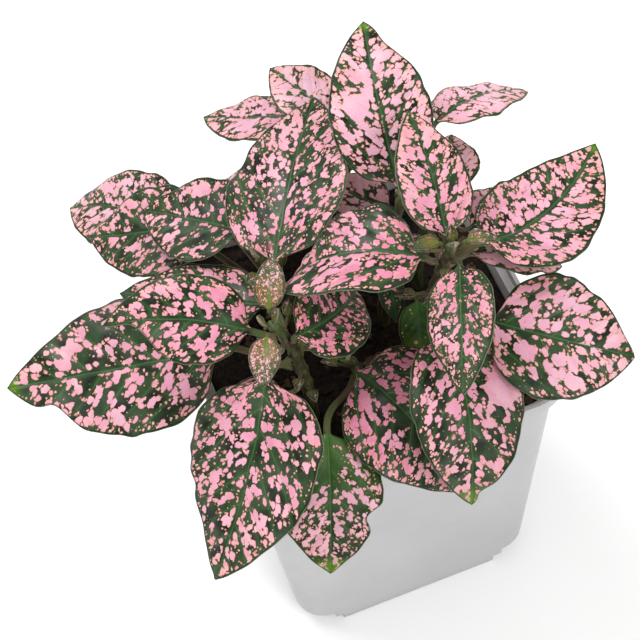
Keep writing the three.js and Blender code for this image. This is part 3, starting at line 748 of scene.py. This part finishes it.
def leaf_rings(leaf, order, sizes):
    """Rings round a leaf, from its stalk's foot to its tip, with the marks that its finish reads."""
    draw = np.random.default_rng(100 + order)
    length, width = leaf["length"], leaf["width"]
    rows = max(26, round(length / sizes.fineness))
    even = np.linspace(0, 1, rows)
    run = 0.6 * even + 0.4 * (1 - np.cos(np.pi * even)) / 2
    point, along, side, face = blade_frames(leaf, run)
    spacing = length / VEINS["per_length"]

    # Each side's outline has fine teeth and may have a bite. It starts as wide as the stalk, or wider
    stalk_half = min(STALK["half_width"], max(0.45, width / 26))
    inner, outer = 5, max(6, round((width / 2 - 1) / sizes.fineness))
    wander = draw.uniform(0, 2 * np.pi, 8)
    halves = {}
    for sign in (1, -1):
        half = width / 2 * outline(run)
        if leaf["nick"] and leaf["nick"][0] == sign:
            _, at, reach, depth = leaf["nick"]
            half = half * (1 - depth * np.exp(-((run - at) / reach) ** 2))
        teeth = 0.012 * np.sin(run * 31 + wander[0] * sign) + 0.008 * np.sin(run * 57 + wander[1] * sign)
        half = half * (1 + teeth * np.sin(np.pi * run))
        least = stalk_half + (0.12 - stalk_half) * smooth(run, 0.1, 0.9)
        halves[sign] = np.maximum(half, least)

    def spread(half):
        """Places across one side, closer together by the rib."""
        strip = np.minimum(1.1, 0.35 * half)[:, None]
        near = strip * np.linspace(0, 1, inner + 1)
        far = strip + (half[:, None] - strip) * np.linspace(0, 1, outer + 1)[1:]
        return np.concatenate([near, far], axis=1)

    away_left, away_right = spread(halves[1]), spread(halves[-1])
    away = np.concatenate([away_left[:, ::-1], away_right[:, 1:]], axis=1)
    sign = np.concatenate([np.ones(away_left.shape[1]), -np.ones(away_right.shape[1] - 1)])
    half = np.where(sign > 0, halves[1][:, None], halves[-1][:, None])
    share = away / half
    x = (run * length)[:, None] + 0 * away
    y = away * sign

    # The blade is folded and curled, waved along its edges, and puffed up between its veins
    fold = math.radians(leaf["fold"])
    turns = BLADE["waves"] * run[:, None] + BLADE["wave_lead"] * sign
    ripple = (width * BLADE["wave_share"] * np.sin(np.pi * run)[:, None] * share ** 2
              * np.sin(2 * np.pi * turns))
    lift = half * (math.sin(fold) * share - BLADE["curl"] * share ** 2) + ripple
    row = lateral_row(x, away, length) / spacing + (sign > 0) * VEINS["left_lead"]
    puff = np.abs(np.sin(np.pi * row)) ** 0.8 - 0.5
    body = smooth(share, 0.02, 0.25) * (1 - smooth(share, 0.7, 1)) * smooth(run, 0.02, 0.15)[:, None]
    grown = min(1.0, width / 24)
    lift = lift + sizes.quilt * grown * puff * body
    slow = sum(
        np.sin(x / reach * 2 * np.pi + a) * np.sin(y / reach * 2 * np.pi + b)
        for reach, a, b in ((11, wander[2], wander[3]), (17, wander[4], wander[5])))
    lift = lift + 0.22 * grown * slow * smooth(run, 0.05, 0.3)[:, None]
    groove = 0.3 * grown * np.exp(-(away / 0.45) ** 2) * (1 - 0.6 * run[:, None])

    # It thins towards its edge, and its rib stands out below
    thick = sizes.thickness / 2 * (1 - 0.6 * share ** 3)
    rib_height = (0.15 + BLADE["rib"] * 1.2 * (1 - run[:, None])) * np.exp(-(away / 0.55) ** 2)
    top = lift + thick - groove
    low = lift - thick - rib_height

    # It starts as round as the stalk, which has a channel on top
    angle = np.linspace(0, np.pi, away.shape[1])
    round_y = stalk_half * np.cos(angle)
    round_top = STALK["half_height"] * stalk_half / STALK["half_width"] * np.sin(angle)
    channel = 1 - 0.35 * np.exp(-(np.cos(angle) / 0.4) ** 2)
    into = smooth(run, 0.0, 0.09)[:, None]
    cross = y * math.cos(fold) * into + round_y * (1 - into)
    top = top * into + round_top * channel * (1 - into)
    low = low * into - round_top * (1 - into)
    blade = around_with(*(off_line(point, side, face, cross, height) for height in (top, low)))
    blade_marks = around_with(*(np.stack([x, y, 0 * x + under], axis=-1) for under in (0, 1)))

    joint = stem_at(STEMS[leaf["stem"]], leaf["joint"])[1]
    stalk_rows = max(6, round(np.linalg.norm(point[0] - joint)))
    line, ahead, reach = stalk_points(leaf, point[0], along[0], stalk_rows)
    across = unit(side[0] - ahead * (ahead @ side[0])[:, None])
    above = np.cross(ahead, across)
    stalk = around_with(*(
        off_line(line, across, above, round_y, height) for height in (round_top * channel, -round_top)))
    back = -reach * (1 - np.arange(stalk_rows) / stalk_rows)
    stalk_x = back[:, None] + np.zeros(stalk.shape[1])
    stalk_y = np.concatenate([round_y, round_y[::-1]])[None] + 0 * stalk_x
    stalk_marks = np.stack([stalk_x, stalk_y, 0 * stalk_x], axis=-1)
    margin = np.concatenate([0 * stalk_x + 2, around_with(half - away, half - away)])
    marks = {"blade": np.concatenate([stalk_marks, blade_marks]), "margin": margin[..., None]}
    return np.concatenate([stalk, blade]), marks


def make_leaf(name, order, sizes):
    """A grown leaf with its stalk, in one piece."""
    piece = skin(name + "_blade", *leaf_rings(LEAVES[name], order, sizes))
    mount(piece, "leaf", leaf_finish(name, LEAVES[name], order, sizes), name)


def make_buds(sizes):
    """Small leaves that haven't grown yet: an unopened pair at each shoot's tip and between its joints'
    grown leaves. All of one shoot's are one piece."""
    finish = leaf_finish("bud", BUD, len(LEAVES), sizes)
    for order, (name, stem) in enumerate(STEMS.items()):
        grown = [leaf for leaf in LEAVES.values() if leaf["stem"] == name]
        joints = sorted({leaf["joint"] for leaf in grown})[:-1]
        sprouts = [(np.array(stem["tip"], float), BUD["heading"] * order, BUD["apart"], BUD["slopes"])]
        for height in joints:
            middle = stem_at(stem, height)[1] + (0, 0, BUD["above"])
            taken = [leaf["heading"] for leaf in grown if leaf["joint"] == height]
            sprouts.append((middle, taken[0] + 90, BUD["out"], BUD["side_slopes"]))
        pieces = []
        for middle, heading, out, slopes in sprouts:
            for turn in (0, 180):
                angle = math.radians(heading + turn)
                start = middle + out * np.array([math.cos(angle), math.sin(angle), 0])
                leaf = {**BUD, "stem": name, "joint": middle[2] - BUD["below"], "start": start,
                        "heading": heading + turn, "slopes": slopes}
                pieces.append(skin(name + "_buds", *leaf_rings(leaf, len(LEAVES) + order, sizes)))
        only(pieces[0])
        for piece in pieces[1:]:
            piece.select_set(True)
        bpy.ops.object.join()
        mount(pieces[0], "leaf", finish)


# Stems

def stem_rings(name, sizes):
    """Rings up a stem: four soft corners, swollen joints and a rounded end."""
    points, reach = stem_path(STEMS[name])
    joints = sorted({leaf["joint"] for leaf in LEAVES.values() if leaf["stem"] == name})
    keep = np.linspace(0, len(points) - 1, max(30, round(reach / 0.5))).round().astype(int)
    line = points[keep]
    share = keep / (len(points) - 1)
    along = unit(np.gradient(line, axis=0))
    swell = np.minimum(sum(np.exp(-((line[:, 2] - z) / 1.1) ** 2) for z in joints), 1.0)
    radius = stem_radius(share) + STEM["joint_swell"] * swell
    left = (1 - share) * reach
    radius = radius * np.sqrt(np.clip(1 - ((1.2 - left) / 1.25) ** 2 * (left < 1.2), 0.02, 1))
    angle = np.arange(sizes.sides) / sizes.sides * 2 * np.pi
    ridge = 1 + 0.045 * np.cos(4 * angle)
    across = unit(np.array([1.0, 0, 0]) - along * along[:, :1])
    third = np.cross(along, across)
    around = radius[:, None] * ridge
    rings = off_line(line, across, third, around * np.cos(angle), around * np.sin(angle))
    marks = {"joint": swell, "young": smooth(share, 0.86, 1.0)}
    return rings, {key: (values[:, None] + 0 * around)[..., None] for key, values in marks.items()}


# Pot

def rounded_block(name, low, high, side_low, side_high, corner_share):
    """A tapered block with rounded upright edges, as a cube shaped by hand."""
    middle = (low + high) / 2 * MM
    block = add(bpy.ops.mesh.primitive_cube_add, name, size=1, location=(0, 0, middle))
    block.scale = (side_low * MM, side_low * MM, (high - low) * MM)
    settle(block)
    edit(block)
    select_faces(block, lambda centre, normal: normal.z > 0.9)
    grow = side_high / side_low
    bpy.ops.transform.resize(value=(grow, grow, 1))
    bpy.ops.mesh.select_mode(type="EDGE")
    bpy.ops.mesh.select_all(action="DESELECT")
    done()
    for upright in block.data.edges:
        a, b = (block.data.vertices[k].co.z for k in upright.vertices)
        upright.select = abs(a - b) > 1 * MM
    bpy.ops.object.mode_set(mode="EDIT")
    bpy.ops.mesh.bevel(offset_type="PERCENT", offset_pct=corner_share, offset=0, segments=14)
    done()
    return block


def extrude_top(block, top, rise, grow):
    """Raises a block's flat top, and makes it wider by grow."""
    edit(block)
    select_faces(block, lambda centre, normal: abs(centre.z - top * MM) < 0.01 * MM and normal.z > 0.9)
    bpy.ops.mesh.extrude_region_move(TRANSFORM_OT_translate={"value": (0, 0, rise * MM)})
    bpy.ops.transform.resize(value=(grow, grow, 1))
    done()


def notch_boxes(grow):
    """Blocks that take the raised corners out of the foot, in two steps."""
    reach = POT["notch_reach"]
    steps = (("foot_inset", "ledge_height"), ("ledge_inset", "notch_height"))
    for (inset, height), (sx, sy) in ((step, corner) for step in steps for corner in CORNERS):
        aside = (POT["base_side"] / 2 - POT[inset] - grow + reach / 2) * MM
        top = POT[height] + grow
        place = (sx * aside, sy * aside, (top - reach) / 2 * MM)
        box = add(bpy.ops.mesh.primitive_cube_add, size=1, location=place)
        box.scale = (reach * MM, reach * MM, (top + reach) * MM)
        settle(box)
        yield box


def make_pot(sizes):
    """The pot's outer block, less its core, its notched corners and its drain holes."""
    shoulder = POT["height"] - POT["rim_height"]
    under_rim = POT["rim_side"] - 2 * POT["rim_step"]
    wall = POT["wall"]
    pot = rounded_block("nursery_pot", 0, shoulder, POT["base_side"], under_rim, sizes.corner_share)
    extrude_top(pot, shoulder, POT["flare"], POT["rim_side"] / under_rim)
    extrude_top(pot, shoulder + POT["flare"], POT["rim_height"] - POT["flare"], 1)
    slope = (under_rim - POT["base_side"]) / shoulder
    inner_low = POT["base_side"] + slope * POT["floor"] - 2 * wall
    inner_high = under_rim - 2 * wall
    inner_shoulder = shoulder + POT["edge"]
    core = rounded_block(
        "pot_core", POT["floor"], inner_shoulder, inner_low, inner_high, sizes.corner_share - 1)
    extrude_top(core, inner_shoulder, POT["flare"], (POT["rim_side"] - 2 * wall) / inner_high)
    extrude_top(core, inner_shoulder + POT["flare"], POT["rim_height"], 1)
    for box in notch_boxes(0):
        cut(pot, box)
    for box in notch_boxes(wall):
        cut(core, box)
    cut(pot, core)
    aside = POT["drain_spacing"] / 2 * MM
    for sx, sy in CORNERS:
        drain = add(
            bpy.ops.mesh.primitive_cylinder_add, vertices=40, radius=POT["drain_radius"] * MM,
            depth=6 * MM, location=(sx * aside, sy * aside, 0))
        settle(drain)
        cut(pot, drain)
    apply_modifier(
        pot, "BEVEL", width=sizes.edge, segments=3, limit_method="ANGLE",
        angle_limit=math.radians(38), use_clamp_overlap=True)
    only(pot)
    bpy.ops.object.shade_smooth_by_angle(angle=math.radians(32))
    mount(pot, "pot_plastic", pot_finish(sizes), "pot")


# Soil

def pot_ring(side, corner, count):
    """A level ring with rounded corners and about evenly spaced points, counter-clockwise."""
    inner = side / 2 - corner
    fine = []
    for quarter in range(4):
        turn = quarter * math.pi / 2
        middle = Vector((inner, inner, 0))
        middle.rotate(Euler((0, 0, turn)))
        for k in range(25):
            angle = turn + k / 24 * math.pi / 2
            fine.append((middle.x + corner * math.cos(angle), middle.y + corner * math.sin(angle)))
    fine = np.array(fine + fine[:1])
    return evenly(fine, count, endpoint=False)[0]


def soil_height(x, y):
    """The frame's low mound, roughened into lumps and crumbs."""
    far = math.hypot(x, y) / SOIL["mound_reach"]
    mound = SOIL["mound"] * max(0.0, 1 - far * far)
    place = Vector((x, y, 0.0))
    lumps = noise.fractal(place / 7, 0.9, 2.1, 3) * 0.7
    crumbs = abs(noise.noise(place / 1.6)) * 0.9 + abs(noise.noise(place / 0.8)) * 0.4
    return SOIL["top"] + 0.25 + mound + lumps * 0.6 + crumbs


def make_soil_face():
    """A crumbly skin over the soil, from just inside the pot's wall to the middle."""
    clearance, tuck = 0.8, 0.6
    side = POT["rim_side"] - 2 * (POT["rim_step"] + POT["wall"] + clearance)
    edge = pot_ring(side, 10, 300)
    shares = [1, 0.995, *np.linspace(0.985, 0.015, 78)]
    rings = [[(x, y, SOIL["top"] - tuck) for x, y in edge]]
    for share in shares:
        rings.append([(x * share, y * share, soil_height(x * share, y * share)) for x, y in edge])
    mount(skin("soil_face", rings), "soil", soil_finish())


def make_crumbs(sizes):
    """Loose crumbs, each a small dented ball, sunk into the soil's face."""
    draw = np.random.default_rng(7)
    ball = add(bpy.ops.mesh.primitive_ico_sphere_add, subdivisions=1, radius=1)
    corners = np.array([vertex.co for vertex in ball.data.vertices])
    faces = np.array([face.vertices for face in ball.data.polygons])
    bpy.data.objects.remove(ball)
    reach = POT["rim_side"] / 2 - 6
    places, indices = [], []
    for number in range(sizes.crumbs):
        x, y = draw.uniform(-reach, reach, 2)
        size = draw.uniform(0.35, 1.0) ** 1.5 * sizes.crumb_size
        shape = corners * draw.uniform(0.6, 1.25, corners.shape) * draw.uniform(0.6, 1.1, 3) * size
        turn = np.array(Euler(draw.uniform(0, 6.3, 3)).to_matrix())
        middle = np.array([x, y, soil_height(x, y) + 0.15 * size])
        places.append((shape @ turn.T + middle) * MM)
        indices.append(faces + number * len(corners))
    mesh = bpy.data.meshes.new("soil_crumbs")
    mesh.from_pydata(np.vstack(places).tolist(), [], np.vstack(indices).tolist())
    mount(put("soil_crumbs", mesh), "soil", bpy.data.materials["soil_finish"])


# Stage

def add_light(name, start, target, size, power, colour):
    data = bpy.data.lights.new(name, "AREA")
    data.shape = "DISK"
    data.size = size
    data.energy = power
    data.color = colour
    light = put(name, data)
    light.location = start
    light.rotation_euler = (Vector(target) - Vector(start)).to_track_quat("-Z", "Y").to_euler()


def make_stage(sizes):
    below = (0, 0, -0.2 * MM)
    floor = add(bpy.ops.mesh.primitive_plane_add, "studio_floor", size=6, location=below)
    finish = Finish("studio_floor_finish", roughness=0.9, specular_ior_level=0.1)
    cloud = finish.noise(finish.place(), 0.5)
    finish.feed(Base_Color=finish.mix(cloud, paint(246, 246, 246), paint(250, 250, 250)))
    floor.data.materials.append(finish.material)

    world = bpy.data.worlds.new("studio_air")
    world.use_nodes = True
    background = world.node_tree.nodes["Background"]
    background.inputs[0].default_value = (1.0, 1.0, 1.0, 1.0)
    background.inputs[1].default_value = sizes.air
    bpy.context.scene.world = world
    middle = (0, 0, 0.12)
    add_light("back_softbox", (-0.3, 0.4, 1.0), middle, 0.6, sizes.back_light, (1.0, 1.0, 1.0))
    add_light("front_softbox", (0.35, -0.9, 0.9), middle, 0.7, sizes.front_light, (1.0, 0.99, 0.98))

    azimuth, roll = sizes.camera_azimuth, sizes.camera_roll
    level = Vector((math.cos(azimuth), math.sin(azimuth), 0))
    flat = math.cos(sizes.camera_elevation)
    back = Vector((level.y * flat, -level.x * flat, math.sin(sizes.camera_elevation)))
    up = back.cross(level)
    right = math.cos(roll) * level + math.sin(roll) * up
    upright = -math.sin(roll) * level + math.cos(roll) * up
    data = bpy.data.cameras.new("photo_camera")
    data.lens = sizes.camera_lens
    data.sensor_width = 36
    data.clip_start = 0.02
    camera = put("photo_camera", data)
    turned = Matrix((right, upright, back)).transposed().to_4x4()
    start = Vector(sizes.camera_target) + back * sizes.camera_distance
    camera.matrix_world = Matrix.Translation(start) @ turned
    bpy.context.scene.camera = camera
    bpy.context.scene.view_settings.view_transform = "Standard"


# Sizes and colours that a user would change

class PotSizes(bpy.types.PropertyGroup):
    corner_share: bpy.props.FloatProperty(
        name="Corner", description="Reach of a rounded corner, as a share of the side",
        default=12.4, subtype="PERCENTAGE")
    edge: bpy.props.FloatProperty(
        name="Edge", description="Softness of the moulded edges", default=0.35 * MM, unit="LENGTH")
    colour: bpy.props.FloatVectorProperty(
        name="Colour", description="Colour of the plastic", size=4, subtype="COLOR",
        default=paint(172, 172, 173))


class SoilSizes(bpy.types.PropertyGroup):
    crumbs: bpy.props.IntProperty(
        name="Crumbs", description="How many loose crumbs lie on the soil", default=700)
    crumb_size: bpy.props.FloatProperty(
        name="Crumb size", description="Radius of the largest crumbs, in millimetres", default=1.5)


class StemSizes(bpy.types.PropertyGroup):
    sides: bpy.props.IntProperty(
        name="Sides", description="Faces round a stem", default=20, min=8)


class LeafSizes(bpy.types.PropertyGroup):
    fineness: bpy.props.FloatProperty(
        name="Fineness", description="Spacing of a blade's faces, in millimetres", default=0.55)
    thickness: bpy.props.FloatProperty(
        name="Thickness", description="Thickness of a blade, in millimetres", default=0.42)
    quilt: bpy.props.FloatProperty(
        name="Quilting", description="Rise between the lateral veins, in millimetres", default=0.45)
    splash_scale: bpy.props.FloatProperty(
        name="Splash scale", description="Scale of every leaf's pink splashes", default=1.0)
    pale_pink: bpy.props.FloatVectorProperty(
        name="Pale pink", description="Colour of the palest splashes", size=4, subtype="COLOR",
        default=paint(211, 174, 189))
    deep_pink: bpy.props.FloatVectorProperty(
        name="Deep pink", description="Colour of the deepest splashes", size=4, subtype="COLOR",
        default=paint(197, 108, 138))
    dark_green: bpy.props.FloatVectorProperty(
        name="Dark green", description="Darkest green between the splashes", size=4, subtype="COLOR",
        default=paint(11, 23, 10))
    mid_green: bpy.props.FloatVectorProperty(
        name="Mid green", description="Lighter green between the splashes", size=4, subtype="COLOR",
        default=paint(47, 66, 41))
    vein_green: bpy.props.FloatVectorProperty(
        name="Vein green", description="Colour of the veins", size=4, subtype="COLOR",
        default=paint(72, 102, 62))


class StageSizes(bpy.types.PropertyGroup):
    camera_azimuth: bpy.props.FloatProperty(
        name="Azimuth", description="Turn of the camera round the plant",
        default=math.radians(-13.7), subtype="ANGLE")
    camera_elevation: bpy.props.FloatProperty(
        name="Elevation", description="Angle of the camera above the floor",
        default=math.radians(56.3), subtype="ANGLE")
    camera_roll: bpy.props.FloatProperty(
        name="Roll", description="Tilt of the camera about its line of sight",
        default=math.radians(-8.6), subtype="ANGLE")
    camera_distance: bpy.props.FloatProperty(
        name="Distance", description="Distance from the camera to its target",
        default=489 * MM, unit="LENGTH")
    camera_lens: bpy.props.FloatProperty(
        name="Lens", description="Focal length in millimetres", default=100, unit="CAMERA")
    camera_target: bpy.props.FloatVectorProperty(
        name="Target", description="Point that the camera looks at", size=3, subtype="TRANSLATION",
        default=(-7.2 * MM, 9.3 * MM, 90 * MM))
    air: bpy.props.FloatProperty(
        name="Air", description="Strength of the light from all round", default=0.76)
    back_light: bpy.props.FloatProperty(
        name="Back light", description="Power of the softbox behind the plant", default=8.5,
        unit="POWER")
    front_light: bpy.props.FloatProperty(
        name="Front light", description="Power of the softbox in front", default=8, unit="POWER")


# Operators

class PLANT_OT_pot(bpy.types.Operator):
    """Build the square nursery pot with its collar, raised corners and drain holes"""
    bl_idname = "plant.pot"
    bl_label = "Pot"

    def execute(self, context):
        make_pot(context.scene.plant_pot)
        return {"FINISHED"}


class PLANT_OT_soil(bpy.types.Operator):
    """Build the crumbly face of the soil and its loose crumbs"""
    bl_idname = "plant.soil"
    bl_label = "Soil"

    def execute(self, context):
        make_soil_face()
        make_crumbs(context.scene.plant_soil)
        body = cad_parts["soil"]
        body.data.materials.clear()
        body.data.materials.append(bpy.data.materials["soil_finish"])
        return {"FINISHED"}


class PLANT_OT_stems(bpy.types.Operator):
    """Build the seven jointed stems"""
    bl_idname = "plant.stems"
    bl_label = "Stems"

    def execute(self, context):
        finish = stem_finish()
        for name in STEMS:
            shoot = skin(name + "_shoot", *stem_rings(name, context.scene.plant_stem))
            mount(shoot, "stem", finish, name + "_stem")
        return {"FINISHED"}


class PLANT_OT_leaves(bpy.types.Operator):
    """Build the leaves, each with its stalk, veins and splashes"""
    bl_idname = "plant.leaves"
    bl_label = "Leaves"

    def execute(self, context):
        for order, name in enumerate(LEAVES):
            make_leaf(name, order, context.scene.plant_leaf)
        make_buds(context.scene.plant_leaf)
        return {"FINISHED"}


class PLANT_OT_stage(bpy.types.Operator):
    """Set out the pale floor, the soft light and the camera"""
    bl_idname = "plant.stage"
    bl_label = "Stage"

    def execute(self, context):
        make_stage(context.scene.plant_stage)
        return {"FINISHED"}


class PLANT_PT_panel(bpy.types.Panel):
    bl_idname = "PLANT_PT_panel"
    bl_label = "Polka dot plant"
    bl_space_type = "VIEW_3D"
    bl_region_type = "UI"
    bl_category = "Plant"

    def draw(self, context):
        for operator, group in STEPS:
            self.layout.operator(operator.bl_idname)
            for key in getattr(context.scene, group).__annotations__:
                self.layout.prop(getattr(context.scene, group), key)


GROUPS = {
    "plant_pot": PotSizes, "plant_soil": SoilSizes, "plant_stem": StemSizes,
    "plant_leaf": LeafSizes, "plant_stage": StageSizes,
}
STEPS = (
    (PLANT_OT_pot, "plant_pot"), (PLANT_OT_soil, "plant_soil"), (PLANT_OT_stems, "plant_stem"),
    (PLANT_OT_leaves, "plant_leaf"), (PLANT_OT_stage, "plant_stage"),
)


def register():
    for name, group in GROUPS.items():
        bpy.utils.register_class(group)
        setattr(bpy.types.Scene, name, bpy.props.PointerProperty(type=group))
    for operator, _ in STEPS:
        bpy.utils.register_class(operator)
    bpy.utils.register_class(PLANT_PT_panel)


def unregister():
    bpy.utils.unregister_class(PLANT_PT_panel)
    for operator, _ in reversed(STEPS):
        bpy.utils.unregister_class(operator)
    for name, group in reversed(GROUPS.items()):
        delattr(bpy.types.Scene, name)
        bpy.utils.unregister_class(group)


def main():
    register()
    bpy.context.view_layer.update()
    bpy.ops.plant.pot()
    bpy.ops.plant.soil()
    bpy.ops.plant.stems()
    bpy.ops.plant.leaves()
    bpy.ops.plant.stage()


if __name__ == "__main__":
    main()
